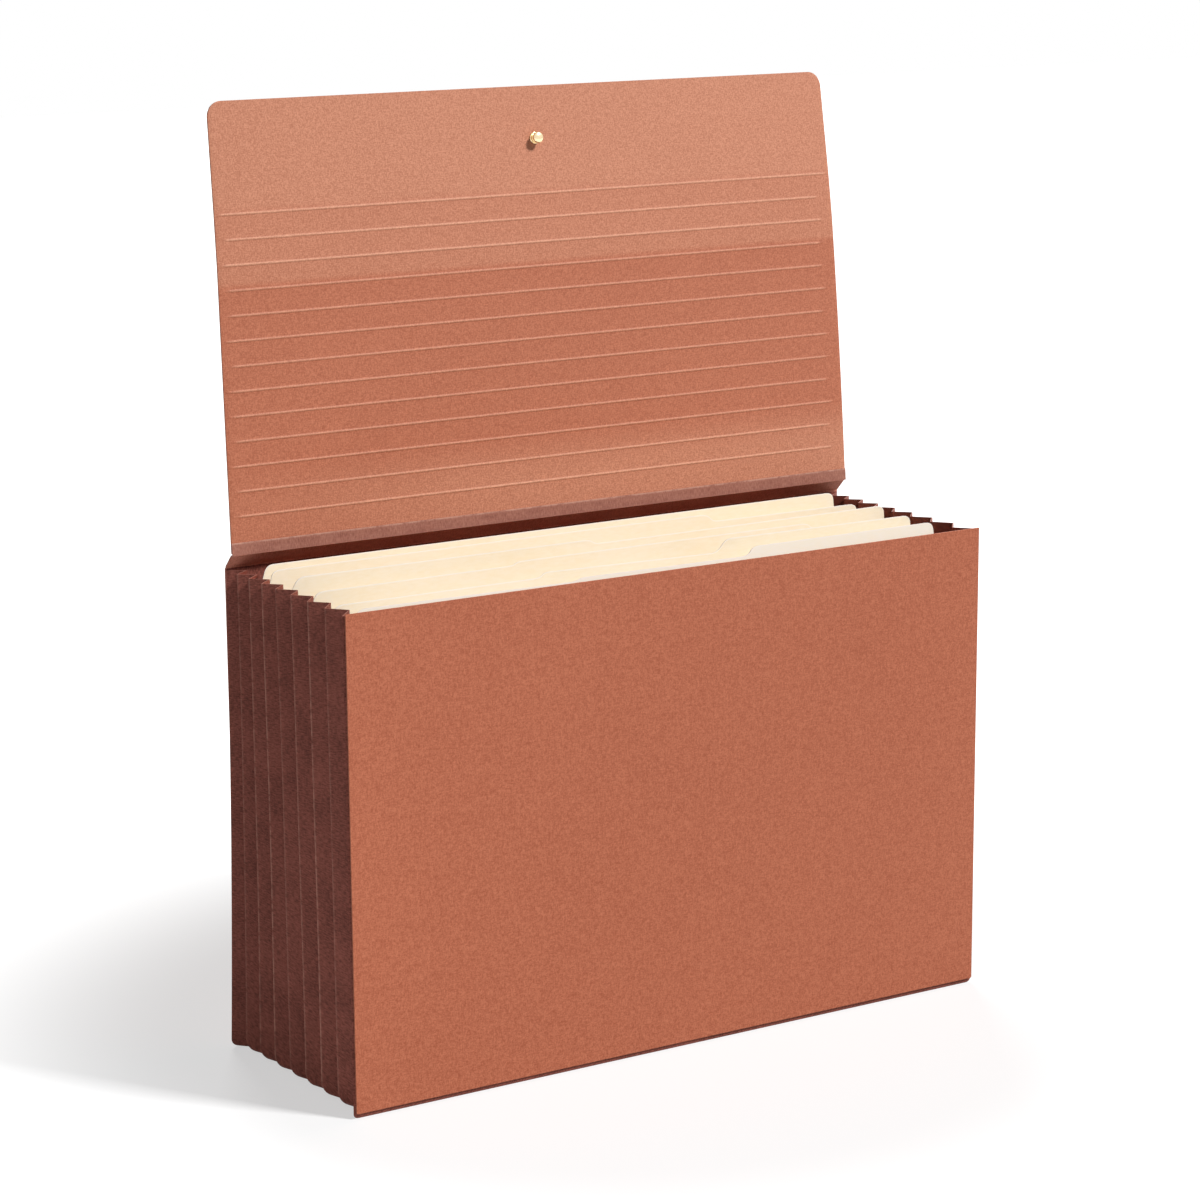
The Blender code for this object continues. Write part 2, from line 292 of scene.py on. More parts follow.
world = bpy.data.worlds.new("pale_sky")
bpy.context.scene.world = world
world.use_nodes = True
sky = world.node_tree.nodes["Background"]
sky.inputs["Color"].default_value = WHITE
sky_level = 1 - (1 - SKY_STRENGTH) * (1 - camera_sees(Wire(sky.outputs[0])))
world.node_tree.links.new(sky_level.socket, sky.inputs["Strength"])
print("sky strength", SKY_STRENGTH, "as a light")

# %% [markdown]
# ## Lamps
#
# One large lamp, far off in front and to the right, throws the shadow back to the left. A small weak one by
# the floor lifts the left side, and a broad one behind lifts the back. Area lamps were chosen over points
# and suns because their size sets how soft a shadow's edge is.

# %% Hang the lamps
LAMP_TARGET = Vector((0, 0, 0.15))
LAMPS = {  # place, size in metres, power in watts
    "key_lamp": ((7.12, -9.28, 11.32), 2.4, 3080.0),
    "fill_lamp": ((-0.40, -0.25, 0.03), 0.10, 0.18),
    "back_lamp": ((2.7, 7.0, 5.0), 3.0, 280.0),
}

for name, (place, size, power) in LAMPS.items():
    bpy.ops.object.light_add(type="AREA", location=place)
    lamp = bpy.context.object
    lamp.name = name
    lamp.data.size = size
    lamp.data.energy = power
    lamp.rotation_euler = (LAMP_TARGET - Vector(place)).to_track_quat("-Z", "Y").to_euler()
    print(name, power, "W")

# %% [markdown]
# ## Pressboard
#
# Pressboard is a dense brown card of short fibres, mottled in faint clouds and fine flecks that lie mostly
# upright or level. A picture of card could be wrapped round the boards, but noise laid out in metres has
# the right scale everywhere and no seams. A stored value turns it paler: on the flap that is partly wear
# from handling and partly painted sheen and highlight.

# %% Mix the pressboard
CLOUD_SCALE = 9.0
MOTTLE_SCALE = 1300.0
FIBRE_SCALE = 2200.0
FIBRE_STRETCH = 0.2
BOARD_CONTRAST = 0.11
BOARD_RELIEF = 0.00008


def pressboard(name, dark, light, wear_sheen_dark, wear_sheen_light):
    material, shader, start = new_finish(name, Specular_IOR_Level=0.35)
    place = start.node("ShaderNodeTexCoord", output="Object")
    wear = start.node("ShaderNodeAttribute", {"attribute_name": "wear"}, output="Fac")
    clouds = place.noise(CLOUD_SCALE, detail=2)
    mottle = place.noise(MOTTLE_SCALE, detail=4, roughness=0.7)
    upright = place.stretched((1.0, 1.0, FIBRE_STRETCH)).noise(FIBRE_SCALE, detail=2)
    level = place.stretched((FIBRE_STRETCH, 1.0, 1.0)).noise(FIBRE_SCALE, detail=2)
    fleck = 0.04 * clouds + 0.5 * mottle + 0.24 * upright + 0.22 * level
    tone = fleck.between(0.5 - BOARD_CONTRAST, 0.5 + BOARD_CONTRAST)
    feed(shader, Base_Color=wear.mix(tone.mix(dark, light), tone.mix(wear_sheen_dark, wear_sheen_light)))
    feed(shader, Roughness=0.54 + 0.14 * mottle)
    feed(shader, Normal=(0.5 * mottle + 0.25 * upright + 0.25 * level).bump(0.3, BOARD_RELIEF))
    return material


board_finish = pressboard(
    "red_brown_pressboard",
    dark=colour(156, 81, 54),
    light=colour(189, 112, 82),
    # paler colours for the flap: partly wear, partly painted sheen and highlight
    wear_sheen_dark=colour(214, 158, 126),
    wear_sheen_light=colour(244, 192, 160),
)
print(board_finish.name, "for the covers and the flap")

# %% [markdown]
# ## Book cloth
#
# The gusset and the hinge are book cloth, a coated weave whose threads show as fine streaks. Laid out in
# space they would cut straight through the folds, so they lie on a UV map that counts metres of cloth. One
# recipe makes the dark gusset, the paler tape on the flap and the strip between them; the strip is the same
# cloth painted lighter, as painted light for its face that turns down into shade.

# %% Weave the book cloth
THREAD_PITCH = 0.00055
THREAD_SCALE = 1500.0
THREAD_STRETCH = 0.3
PATCH_SCALE = 45.0
RUB_SCALE = 260.0
CLOTH_RELIEF = 0.00016


def book_cloth(name, dark, light, worn, contrast):
    material, shader, start = new_finish(name, Specular_IOR_Level=0.3)
    thread = start.node("ShaderNodeUVMap", {"uv_map": "cloth"}, output="UV")
    wear = start.node("ShaderNodeAttribute", {"attribute_name": "wear"}, output="Fac")
    weft = thread.stretched((1.0, THREAD_STRETCH, 1.0)).noise(THREAD_SCALE)
    warp = thread.stretched((THREAD_STRETCH, 1.0, 1.0)).noise(THREAD_SCALE)
    patches = thread.noise(PATCH_SCALE)
    turns = math.tau / THREAD_PITCH
    weave = (thread.axis(0) * turns).sine() * (thread.axis(1) * turns).sine()
    tone = 0.55 * weft + 0.2 * warp + 0.25 * patches + 0.03 * weave
    cloth = tone.between(0.5 - contrast, 0.5 + contrast).mix(dark, light)
    rubbed = wear * thread.noise(RUB_SCALE).between(0.25, 0.6)
    feed(shader, Base_Color=rubbed.mix(cloth, worn))
    feed(shader, Roughness=0.62 + 0.18 * weft)
    feed(shader, Normal=(0.5 * weft + 0.3 * warp + 0.25 * weave).bump(0.5, CLOTH_RELIEF))
    return material


gusset_finish = book_cloth(
    "gusset_cloth", colour(100, 49, 38), colour(164, 95, 81), colour(222, 164, 146), contrast=0.14
)
tape_finish = book_cloth(
    "hinge_cloth", colour(134, 79, 65), colour(176, 121, 103), colour(228, 182, 162), contrast=0.2
)
# painted light: the hinge cloth painted lighter for the strip, whose face turns down into shade
strip_painted_lighter = book_cloth(
    "hinge_strip_painted_lighter", colour(196, 120, 100), colour(238, 164, 140), colour(240, 196, 176), contrast=0.2
)
print("book cloth:", gusset_finish.name, tape_finish.name, strip_painted_lighter.name)

# %% [markdown]
# ## Card, lining and cut edges
#
# Manila card is smooth, warm and pale, with a faint fibre. The gusset's lining and the cut edges of cloth
# and card differ from it only in colour and grain, so one recipe makes them all. A folder's upper edge gets
# a painted highlight: a near-white rim colour standing in for light caught by the cut edge, brought out by
# the value stored there.

# %% Mix the card and the linings
CARD_GRAIN = 700.0
EDGE_GRAIN = 2400.0
CARD_CLOUD_SCALE = 14.0
CARD_RELIEF = 0.0001


def paper(name, dark, light, rim=None, grain=CARD_GRAIN):
    material, shader, start = new_finish(name, Specular_IOR_Level=0.3, Roughness=0.6)
    place = start.node("ShaderNodeTexCoord", output="Object")
    fibre = place.stretched((0.3, 1.0, 1.0)).noise(grain)
    clouds = place.noise(CARD_CLOUD_SCALE, detail=2)
    tone = (0.5 * fibre + 0.5 * clouds).between(0.3, 0.7).mix(dark, light)
    # rim: a painted highlight along the folder's top edge
    if rim:
        wear = start.node("ShaderNodeAttribute", {"attribute_name": "wear"}, output="Fac")
        tone = wear.mix(tone, rim)
    feed(shader, Base_Color=tone, Normal=fibre.bump(0.15, CARD_RELIEF))
    return material


# painted highlight colour for the folders' top edges
CARD_EDGE_HIGHLIGHT = colour(255, 250, 242)
manila_finish = paper("manila_card", colour(251, 237, 208), colour(254, 243, 222), CARD_EDGE_HIGHLIGHT)
# painted light: manila painted paler for the front leaf, which gets no bounce from a leaf before it
painted_bright_card = paper("manila_painted_paler", colour(254, 248, 228), colour(255, 251, 238), CARD_EDGE_HIGHLIGHT)
lining_finish = paper("gusset_lining", colour(112, 52, 40), colour(132, 66, 51))
cloth_edge_finish = paper("cut_cloth_edge", colour(132, 80, 68), colour(176, 122, 108), grain=EDGE_GRAIN)
card_edge_finish = paper("cut_card_edge", colour(253, 245, 232), colour(254, 250, 242), grain=EDGE_GRAIN)
print("card:", manila_finish.name, painted_bright_card.name)

# %% [markdown]
# ## Brass
#
# The closure is polished brass with fine scuffs. A yellow paint would look flat: a metal shows what it
# reflects, so most of its look comes from the sky and the lamps through a low roughness, and a little noise
# keeps it from looking freshly plated.

# %% Polish the brass
SCUFF_SCALE = 2600.0

brass_finish, brass_shader, brass_start = new_finish("polished_brass", Metallic=1.0)
scuffs = brass_start.node("ShaderNodeTexCoord", output="Object").noise(SCUFF_SCALE)
feed(brass_shader, Base_Color=scuffs.mix(colour(226, 194, 136), colour(252, 238, 208)))
feed(brass_shader, Roughness=0.18 + 0.12 * scuffs)
print(brass_finish.name, "for the post and the cap")

# %% [markdown]
# ## Modelling by hand, in code
#
# Blender's operators act on what is selected, so each step selects one object, and in edit mode only the
# edges that pass a test. A modifier is applied at once, so that the next step works on its result. A
# finished piece's place is moved into its mesh, so that the object sits at the origin.

# %% Helpers for modelling by hand
EDGE_SOFTNESS = 0.00016
EDGE_SEGMENTS = 2
SHARP_ANGLE = math.radians(50)


def select_only(piece):
    bpy.ops.object.select_all(action="DESELECT")
    piece.select_set(True)
    bpy.context.view_layer.objects.active = piece


def edit_edges(piece, test):
    """Opens edit mode with only those edges selected whose two ends pass a test."""
    select_only(piece)
    bpy.ops.object.mode_set(mode="EDIT")
    bpy.ops.mesh.select_mode(type="EDGE")
    bpy.ops.mesh.select_all(action="DESELECT")
    bpy.ops.object.mode_set(mode="OBJECT")
    for edge in piece.data.edges:
        edge.select = test([piece.data.vertices[i].co for i in edge.vertices])
    bpy.ops.object.mode_set(mode="EDIT")


def apply_modifier(piece, kind, **settings):
    select_only(piece)
    bpy.ops.object.modifier_add(type=kind)
    modifier = piece.modifiers[-1]
    for name, value in settings.items():
        setattr(modifier, name, value)
    bpy.ops.object.modifier_apply(modifier=modifier.name)


def soften_edges(piece):
    bevel = {"width": EDGE_SOFTNESS, "segments": EDGE_SEGMENTS, "angle_limit": SHARP_ANGLE}
    apply_modifier(piece, "BEVEL", limit_method="ANGLE", **bevel)


def settle(piece, name, finish=None, smooth=40):
    """Names a finished piece, moves its place into its mesh and smooths edges below an angle."""
    piece.name = name
    piece.data.name = name
    if finish:
        piece.data.materials.append(finish)
    select_only(piece)
    bpy.ops.object.transform_apply(location=True, rotation=True, scale=True)
    bpy.ops.object.shade_smooth_by_angle(angle=math.radians(smooth))
    print(name, len(piece.data.polygons), "faces")


print("edges are softened by", EDGE_SOFTNESS * 1000, "mm")

# %% [markdown]
# ## Covers
#
# Each cover is one board with its lower corners rounded. It could be an outline with a thickness, but a
# cube at the board's size needs fewer steps. Bevelling two short edges rounds the corners, and a much finer
# bevel lets every cut edge catch a line of light. Only small angles are smoothed, or the large faces would
# shade as if they were curved.

# %% Cut the front cover
COVER_CORNER = 0.0010
COVER_LIFT = 0.0028
CORNER_SEGMENTS = 6
COVER_SMOOTH = 20

bpy.ops.object.select_all(action="DESELECT")
cover_middle = (0, front_y, (board_height + COVER_LIFT) / 2)
cover_size = (2 * half_width, board_thickness, board_height - COVER_LIFT)
bpy.ops.mesh.primitive_cube_add(size=1, location=cover_middle, scale=cover_size)
front_cover = bpy.context.object
bpy.ops.object.transform_apply(location=True, rotation=True, scale=True)


def lower_corner(ends):
    """True for the two short edges that run through the board at its foot."""
    at_foot = max(end.z for end in ends) < board_height / 2
    return at_foot and abs(ends[0].y - ends[1].y) > board_thickness / 2


edit_edges(front_cover, lower_corner)
bpy.ops.mesh.bevel(offset=COVER_CORNER, segments=CORNER_SEGMENTS)
bpy.ops.object.mode_set(mode="OBJECT")
soften_edges(front_cover)
settle(front_cover, "front_cover", board_finish, smooth=COVER_SMOOTH)

# %% [markdown]
# The back cover is the same board, one wallet's depth further back. It could be cut afresh, but a duplicate
# is sure to match, and has a mesh of its own. Both are tied to their bodies only now, because a copy
# carries its original's ties.

# %% Copy the cover to the back
select_only(front_cover)
bpy.ops.object.duplicate(linked=False)
back_cover = bpy.context.object
bpy.ops.transform.translate(value=(0, back_y - front_y, 0))
settle(back_cover, "back_cover", smooth=COVER_SMOOTH)
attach(front_cover, "front")
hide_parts("front_panel")
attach(back_cover, "back")
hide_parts("back_panel")

# %% [markdown]
# ## Sheets
#
# The gusset, the hinge cloth, the flap and the folders are sheets. A simulation could fold them, but it
# would round off creases that are pressed into stiff cloth and card. So each starts as a flat grid with the
# columns and rows that its shape needs, and a formula puts every point in place.

# %% Fold a grid into a sheet
def add_sheet(columns, rows, place):
    """A grid of quads with the point in column i and row j put at place(i, j)."""
    bpy.ops.object.select_all(action="DESELECT")
    bpy.ops.mesh.primitive_grid_add(x_subdivisions=columns - 1, y_subdivisions=rows - 1, size=1)
    sheet = bpy.context.object
    for vertex in sheet.data.vertices:
        row, column = divmod(vertex.index, columns)
        vertex.co = place(column, row)
    print("grid of", columns, "by", rows, "points")
    return sheet


def between(low, high, share):
    return low + (high - low) * share


def smooth_step(low, high, value):
    share = min(1, max(0, (value - low) / (high - low)))
    return share * share * (3 - 2 * share)


def even(count, low=0.0, high=1.0):
    """Evenly spaced values from low to high."""
    return [between(low, high, step / (count - 1)) for step in range(count)]


def run_along(points):
    """How far each point lies along a line from its start."""
    run = [0.0]
    for here, there in zip(points, points[1:]):
        run.append(run[-1] + (there - here).length)
    return run


print("three even steps:", even(3))

# %% [markdown]
# A sheet also carries what its finish needs: a UV map in metres for cloth, and how pale each point is, from
# wear and, on the flap and the folders, from painted highlight and sheen. Both could be painted by hand,
# but columns and rows already say where a point lies. Solidify then gives the sheet its thickness, with
# other finishes on its reverse and its cut edge.

# %% Thread a sheet, store its wear and painted highlight, and thicken it
def lay_threads(sheet, columns, thread):
    """A UV map in metres: thread(i, j) is how far a point lies along and across the cloth."""
    layer = sheet.data.uv_layers[0]
    layer.name = "cloth"
    for loop in sheet.data.loops:
        row, column = divmod(loop.vertex_index, columns)
        layer.data[loop.index].uv = thread(column, row)


def mark_wear(sheet, columns, wear):
    """Stores how pale each point of a sheet is, from 0 to 1, by wear and by painted highlight."""
    attribute = sheet.data.attributes.new("wear", "FLOAT", "POINT")
    for vertex in sheet.data.vertices:
        row, column = divmod(vertex.index, columns)
        attribute.data[vertex.index].value = wear(column, row)


def thicken(sheet, thickness, finishes):
    """Gives a sheet its thickness. The last finish is for its cut edge, and of three or more the reverse
    takes the one after the face's."""
    for finish in finishes:
        sheet.data.materials.append(finish)
    solid = {"thickness": thickness, "offset": 0, "use_even_offset": True}
    solid["material_offset"] = 1 if len(finishes) > 2 else 0
    solid["material_offset_rim"] = len(finishes) - 1
    apply_modifier(sheet, "SOLIDIFY", **solid)


print("sheet helpers ready")

# %% [markdown]
# ## Pleated gusset
#
# One strip of book cloth runs down the left side, along the bottom and up the right side in eight pleats,
# glued behind the edges of both covers. It could be sixteen panels, but the real strip is one cloth, so it
# is one grid: columns lie along the folds, crowded where the cloth turns, and rows are stations on the way
# round.

# %% Count the folds
PLEATS = 8
FLANGE_GAP = 0.00055
HALF_PLEAT_STEPS = (0.0, 0.03, 0.08, 0.2, 0.4, 0.6, 0.8, 0.92, 0.97)
BACK_FLANGE_STEPS = (-1.0, -0.5)
FRONT_FLANGE_STEPS = (0.0, 0.1, 0.25, 0.5, 1.0)

first_ridge_y = back_y - board_thickness / 2 - FLANGE_GAP
last_ridge_y = front_y + board_thickness / 2 + FLANGE_GAP
half_pleats = 2 * PLEATS

# each column's place in half pleats, from the back flange's edge at -1 to the front one's
folds = list(BACK_FLANGE_STEPS)
for half in range(half_pleats):
    folds += [half + step for step in HALF_PLEAT_STEPS]
folds += [half_pleats + step for step in FRONT_FLANGE_STEPS]
print(len(folds), "columns for", PLEATS, "pleats")

# %% [markdown]
# A pleat stands out in a ridge and in to a valley. A plain zigzag would do, but cloth can't turn on a line,
# so each fold is rounded. Ridges take the lower corners on a wider curve than valleys, and the last ridge
# stands a hair proud of the front cover, where it shows as a dark line.

# %% Shape one pleat
PLEAT_DEPTH = 0.0078
RIDGE_INSET = 0.0006
LAST_RIDGE_PROUD = 0.0003
FLANGE = 0.008
RIDGE_CORNER = 0.009
FIRST_CORNER = 0.004
VALLEY_CORNER = 0.001
LAST_CORNER = 0.002
FOLD_ROUNDING = 0.012


def rounded_rise(share):
    """Goes from 0 to 1 in a straight line, rounded a little at each end."""
    low = math.hypot(share, FOLD_ROUNDING) - FOLD_ROUNDING
    high = math.hypot(1 - share, FOLD_ROUNDING) - FOLD_ROUNDING
    return low / (low + high)


def fold_shape(fold):
    """How far a column stands in from the covers' edges, and how tightly it turns the lower corners."""
    first = (RIDGE_INSET, FIRST_CORNER)
    free = (RIDGE_INSET, RIDGE_CORNER)
    last = (-LAST_RIDGE_PROUD, LAST_CORNER)
    if fold < 0 or fold > half_pleats:
        ridge = first if fold < 0 else last
        share = -fold if fold < 0 else fold - half_pleats
        return between(ridge[0], FLANGE, share), between(ridge[1], VALLEY_CORNER, share)
    half = min(int(fold), half_pleats - 1)
    share = rounded_rise(fold - half)
    out = share if half % 2 else 1 - share
    ridge = first if fold < 1 else last if fold > half_pleats - 1 else free
    return between(RIDGE_INSET + PLEAT_DEPTH, ridge[0], out), between(VALLEY_CORNER, ridge[1], out)


print("a valley stands in by", round(fold_shape(1.0)[0] * 1000, 2), "mm")

# %% [markdown]
# At the mouth the pleats stand closer together at the back than at the front, and near the floor they are
# nearly even. Each could be moved by hand, but a share bent by a small parabola does it with one number.

# %% Spread the pleats and walk round the wallet
MOUTH_SPREAD = 0.28
FOOT_SPREAD = 0.06
LAST_SETBACK = 0.0008
SETBACK_END = half_pleats + 0.25
SIDE_STATIONS = 30
CORNER_STATIONS = 9
BOTTOM_STATIONS = 44


def fold_depth(fold, height):
    """A column's place between the covers at a share of their height."""
    along = min(1, max(0, fold / half_pleats))
    spread = between(FOOT_SPREAD, MOUTH_SPREAD, height)
    end = last_ridge_y + LAST_SETBACK * (1 - smooth_step(half_pleats, SETBACK_END, fold))
    return between(first_ridge_y, end, along + spread * (along * along - along))


# each station's side, share down it, turn of the corner and share along the bottom
quarter = math.pi / 2
descent = [(share, 0.0) for share in even(SIDE_STATIONS)]
descent += [(1.0, quarter * share) for share in even(CORNER_STATIONS)[1:]]
left = [(-1, down, turn, 0.0) for down, turn in descent]
bottom = [(-1, 1.0, quarter, share) for share in even(BOTTOM_STATIONS)[1:-1]]
right = [(1, down, turn, 0.0) for down, turn in reversed(descent)]
path = list(reversed(left + bottom + right))
print(len(path), "stations round the wallet")

# %% [markdown]
# Each point of the grid is the meeting of a fold and a station. At the lower corners the bottom's pleats
# are pressed flat, as stiff cloth is where it turns, and the foot of the back bulges. Two slow waves move
# the free pleats a fraction of a millimetre, so that no ridge is ruler-straight.

# %% Fold the gusset
GUSSET_DROP = 0.0009
FLOOR_GAP = 0.0004
BOTTOM_PLEAT_DEPTH = 0.0050
CORNER_FLATNESS = 0.05
CORNER_REACH = 0.12
FOOT_BULGE = 0.005
RIPPLE = 0.00022
UP_WAVES = 9
UP_SHIFT = 2.3
ALONG_WAVES = 23
ALONG_SHIFT = 1.7

gusset_top = board_height - GUSSET_DROP


def gusset_point(fold, station):
    side, down, turn, along = station
    inset, radius = fold_shape(fold)
    glued = fold < 0 or fold > half_pleats
    from_corner = smooth_step(0, CORNER_REACH, min(along, 1 - along))
    rise = 1.0 if glued else between(CORNER_FLATNESS, 1, from_corner)
    floor_inset = FLOOR_GAP + rise * max(0, inset - RIDGE_INSET) * BOTTOM_PLEAT_DEPTH / PLEAT_DEPTH
    centre_x = half_width - inset - radius
    centre_z = floor_inset + radius
    x = side * between(centre_x + radius * math.cos(turn), -centre_x, along)
    z = between(gusset_top, centre_z, down) - radius * math.sin(turn)
    height = z / board_height
    loose = min(1, max(0, fold / half_pleats))
    x *= 1 + FOOT_BULGE * (1 - loose) * (1 - height) ** 2 / half_width
    sway = math.sin(UP_WAVES * height + UP_SHIFT * fold + side)
    sway += math.sin(ALONG_WAVES * x / half_width + ALONG_SHIFT * fold)
    free = math.sin(math.pi * loose)
    return Vector((x, fold_depth(fold, height) + RIPPLE * free * sway, z))


gusset = add_sheet(len(folds), len(path), lambda i, j: gusset_point(folds[i], path[j]))

# %% [markdown]
# The flat size is what a maker would cut: the walk along the first valley, by the sum of the half pleats.
# The same measures become the UV map, so that a thread is as fine on a pleat as along the bottom. The free
# ridges are rubbed pale, each one differently.

# %% Measure the cloth and rub its ridges
CLOTH_THICKNESS = 0.0005
FIRST_VALLEY = 1.0
WEAR_WIDTH = 0.0005
RIDGE_WEAR = 0.55
WEAR_VARIES = 0.4
WEAR_SHIFT = 2.1
CLOTH_SMOOTH = 35

half_pleat_length = math.hypot(PLEAT_DEPTH, (first_ridge_y - last_ridge_y) / half_pleats)
round_the_wallet = run_along([gusset_point(FIRST_VALLEY, station) for station in path])


def ridge_wear(column, row):
    """Rubbed along the free ridges, which are the even folds between the covers."""
    ridge = 2 * round(folds[column] / 2)
    if not 0 < ridge < half_pleats:
        return 0.0
    rubbed = RIDGE_WEAR * (1 + WEAR_VARIES * math.sin(WEAR_SHIFT * ridge + 1))
    return rubbed * max(0, 1 - abs(folds[column] - ridge) * half_pleat_length / WEAR_WIDTH)


lay_threads(gusset, len(folds), lambda i, j: (round_the_wallet[j], folds[i] * half_pleat_length))
mark_wear(gusset, len(folds), ridge_wear)
thicken(gusset, CLOTH_THICKNESS, [gusset_finish, lining_finish, cloth_edge_finish])
settle(gusset, "pleated_gusset", smooth=CLOTH_SMOOTH)

# %% [markdown]
# On the real wallet each pleat folds as the front cover is pushed back. Here the gusset rides on the back,
# and the share of its depth that the cover's travel leaves is worked out, though nothing here squashes the
# gusset.

# %% Tie the gusset to the back
gusset_depth = back_y - front_y - 2 * (back_y - first_ridge_y)
gusset_keep = (gusset_depth - travel) / gusset_depth
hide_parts("left_gusset", "right_gusset", "bottom_gusset")
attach(gusset, "back")
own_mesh(gusset)

# %% [markdown]
# ## Hinge cloth
#
# A band of book cloth is glued inside the back cover's top as a lining, runs free up to the crease as a
# strip, and is glued to the flap's foot as a tape. Three bands would leave gaps at the folds, so one line
# runs through all three, seen from the side, and the cloth is that line drawn out across the wallet.

# %% Draw the hinge cloth's line
HINGE_LINING = 0.030
HINGE_TAPE = 0.0058
HINGE_ROWS_LINING = 8
HINGE_ROWS_STRIP = 8
HINGE_ROWS_TAPE = 7
STRIP_LIFT = 0.0004
STRIP_START = 0.1
STRIP_END = 0.95
TAPE_START = -0.0004
GLUE_GAP = 0.0001

strip_foot = Vector((0, back_y, board_height + STRIP_LIFT))
strip_along = (crease - strip_foot).normalized()
strip_out = Vector((0, -strip_along.z, strip_along.y))
strip_length = (crease - strip_foot).length
half_cloth = CLOTH_THICKNESS / 2

inside = Vector((0, back_y - board_thickness / 2 - half_cloth - GLUE_GAP, 0))
heights = even(HINGE_ROWS_LINING, board_height - HINGE_LINING, board_height)
hinge_line = [inside + Vector((0, 0, height)) for height in heights]
strip_side = strip_foot + strip_out * half_cloth
shares = even(HINGE_ROWS_STRIP, STRIP_START, STRIP_END)
hinge_line += [strip_side + strip_along * (share * strip_length) for share in shares]
flap_face = crease + flap_out * (board_thickness + half_cloth + GLUE_GAP)
rises = even(HINGE_ROWS_TAPE, TAPE_START, HINGE_TAPE)
hinge_line += [flap_face + flap_up * rise for rise in rises]
hinge_run = run_along(hinge_line)
print("hinge cloth runs", round(hinge_run[-1], 3), "m from lining to tape")

# %% [markdown]
# The free strip is slack, so it waves a little. A face's row says which stretch it is in, and so which
# finish it takes: paler tape, the strip painted lighter than its cloth as painted light, or dark lining.
# Solidify gives a reverse the finish after its face's, so the back of the strip is as dark as the gusset.

# %% Fold the hinge cloth
HINGE_COLUMNS = 90
HINGE_WAVE = 0.00035
LONG_WAVES = 31
SHORT_WAVES = 74
TAPE_RUB = 0.0008
TAPE_WEAR = 0.6

hinge_across = even(HINGE_COLUMNS, -half_width, half_width)
strip_row = HINGE_ROWS_LINING - 1
tape_row = HINGE_ROWS_LINING + HINGE_ROWS_STRIP


def hinge_point(column, row):
    x = hinge_across[column]
    slack = math.sin(math.pi * smooth_step(strip_row, tape_row, row))
    wave = HINGE_WAVE * slack * (math.sin(LONG_WAVES * x) + math.sin(SHORT_WAVES * x + 1))
    return hinge_line[row] + strip_out * wave + Vector((x, 0, 0))


def hinge_wear(column, row):
    """Rubbed along the tape's upper edge."""
    return TAPE_WEAR if hinge_run[row] > hinge_run[-1] - TAPE_RUB else 0.0


hinge = add_sheet(HINGE_COLUMNS, len(hinge_line), hinge_point)
lay_threads(hinge, HINGE_COLUMNS, lambda i, j: (hinge_across[i], hinge_run[j]))
mark_wear(hinge, HINGE_COLUMNS, hinge_wear)
for face in hinge.data.polygons:
    row = face.index // (HINGE_COLUMNS - 1)
    face.material_index = 2 if row < strip_row else 1 if row < tape_row else 0
thicken(hinge, CLOTH_THICKNESS, [tape_finish, strip_painted_lighter, gusset_finish, cloth_edge_finish])
settle(hinge, "hinge_cloth", smooth=CLOTH_SMOOTH)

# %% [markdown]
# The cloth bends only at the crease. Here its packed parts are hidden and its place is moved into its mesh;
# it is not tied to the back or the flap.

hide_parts("hinge_lining", "hinge_strip", "hinge_tape")
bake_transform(hinge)

# %% [markdown]
# ## Flap
#
# The flap is one board with rounded upper corners and thirteen scores pressed into it from behind, so that
# it can fold wherever the wallet's fill asks. The scores could be thin rods on a plain board, but they are
# the board itself, so they are raised out of a grid, with close rows at the scores and corners and close
# columns at the sides.

# %% Rule the flap's grid
SCORES = 13
SCORE_PITCH = 0.0126
FIRST_SCORE = 0.0189
SCORE_HALF = 0.00065
SCORE_ROWS = (-1.8, -1.2, -0.8, -0.45, -0.2, 0.0, 0.2, 0.45, 0.8, 1.2, 1.8)
FACET_ROWS = (0.3, 0.6)
FLAP_CORNER = 0.008
FLAP_FOOT_TRIM = 0.0005
HEAD_ROWS = 5
CORNER_ROWS = 12
FLAP_EDGE_COLUMNS = 8
FLAP_MIDDLE_COLUMNS = 56
FLAP_EDGE_ZONE = 0.016

corner_start = flap_length - FLAP_CORNER
flap_heights = [FLAP_FOOT_TRIM, FIRST_SCORE / 3, FIRST_SCORE * 2 / 3]
for score in range(SCORES):
    middle = FIRST_SCORE + score * SCORE_PITCH
    flap_heights += [middle + SCORE_HALF * step for step in SCORE_ROWS]
    flap_heights += [middle + SCORE_PITCH * share for share in FACET_ROWS]
flap_heights += even(HEAD_ROWS, flap_heights[-1], corner_start)[1:]
angles = even(CORNER_ROWS, 0, quarter)[1:]
flap_heights += [corner_start + FLAP_CORNER * math.sin(angle) for angle in angles]

inner_edge = half_width - FLAP_EDGE_ZONE
left_columns = even(FLAP_EDGE_COLUMNS, -half_width, -inner_edge)
flap_across = left_columns + even(FLAP_MIDDLE_COLUMNS, -inner_edge, inner_edge)[1:-1]
flap_across += [-x for x in reversed(left_columns)]


def flap_half_width(height):
    """The flap narrows where its upper corners round off."""
    over = height - corner_start
    if over <= 0:
        return half_width
    return half_width - FLAP_CORNER + math.sqrt(max(0, FLAP_CORNER**2 - over**2))


used_score = round((score_distance - FIRST_SCORE) / SCORE_PITCH)
print("the flap folds at score", used_score + 1, "of", SCORES)

# %% [markdown]
# Each score is a thin ridge that fades out before the flap's edges, the last one closest to them. The board
# between two scores is flat, but handling has bent it a little at every score, and more at the one in use.
# A smooth curve would lose those facets, so each has its own lean.

